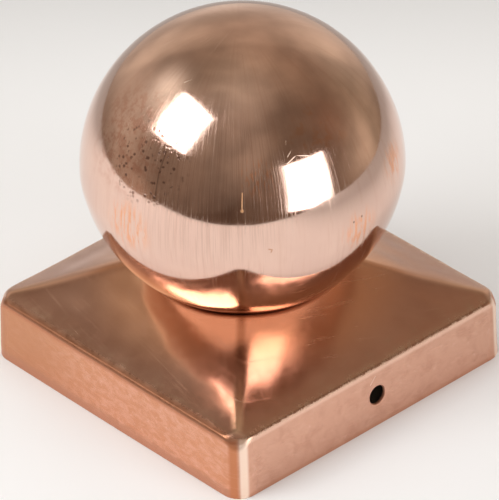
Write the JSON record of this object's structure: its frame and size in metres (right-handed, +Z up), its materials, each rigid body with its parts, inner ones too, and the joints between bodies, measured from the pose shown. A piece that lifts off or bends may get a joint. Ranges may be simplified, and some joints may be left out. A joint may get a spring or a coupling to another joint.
{
  "type": "fence post cap",
  "caption": "Square post cap: a skirted cap with a low hipped roof that runs up to the ball, pressed from copper sheet, with a hollow ball finial screwed on from inside.",
  "frame": {"origin": "centre of the mouth plane, at the bottom edge of the skirt, on the axis of the ball", "axes": "+Z up the ball's axis; X and Y square to the skirt's faces, +X out of the face whose screw hole is shown"},
  "size_m": [0.093, 0.093, 0.0984],
  "materials": {
    "copper_sheet": "polished bare copper sheet with fine rubbing marks",
    "brass_fitting": "turned",
    "steel_fastener": "plain stainless",
    "seal_rubber": "matt"
  },
  "bodies": {
    "root": {"base_shell": "copper_sheet", "ball_lower_dome": "copper_sheet", "ball_upper_dome": "copper_sheet", "ball_seam_band": "copper_sheet", "ball_boss": "brass_fitting", "seal_washer": "seal_rubber", "backing_washer": "brass_fitting", "spring_washer": "steel_fastener", "ball_screw": "steel_fastener"}
  },
  "joints": []
}
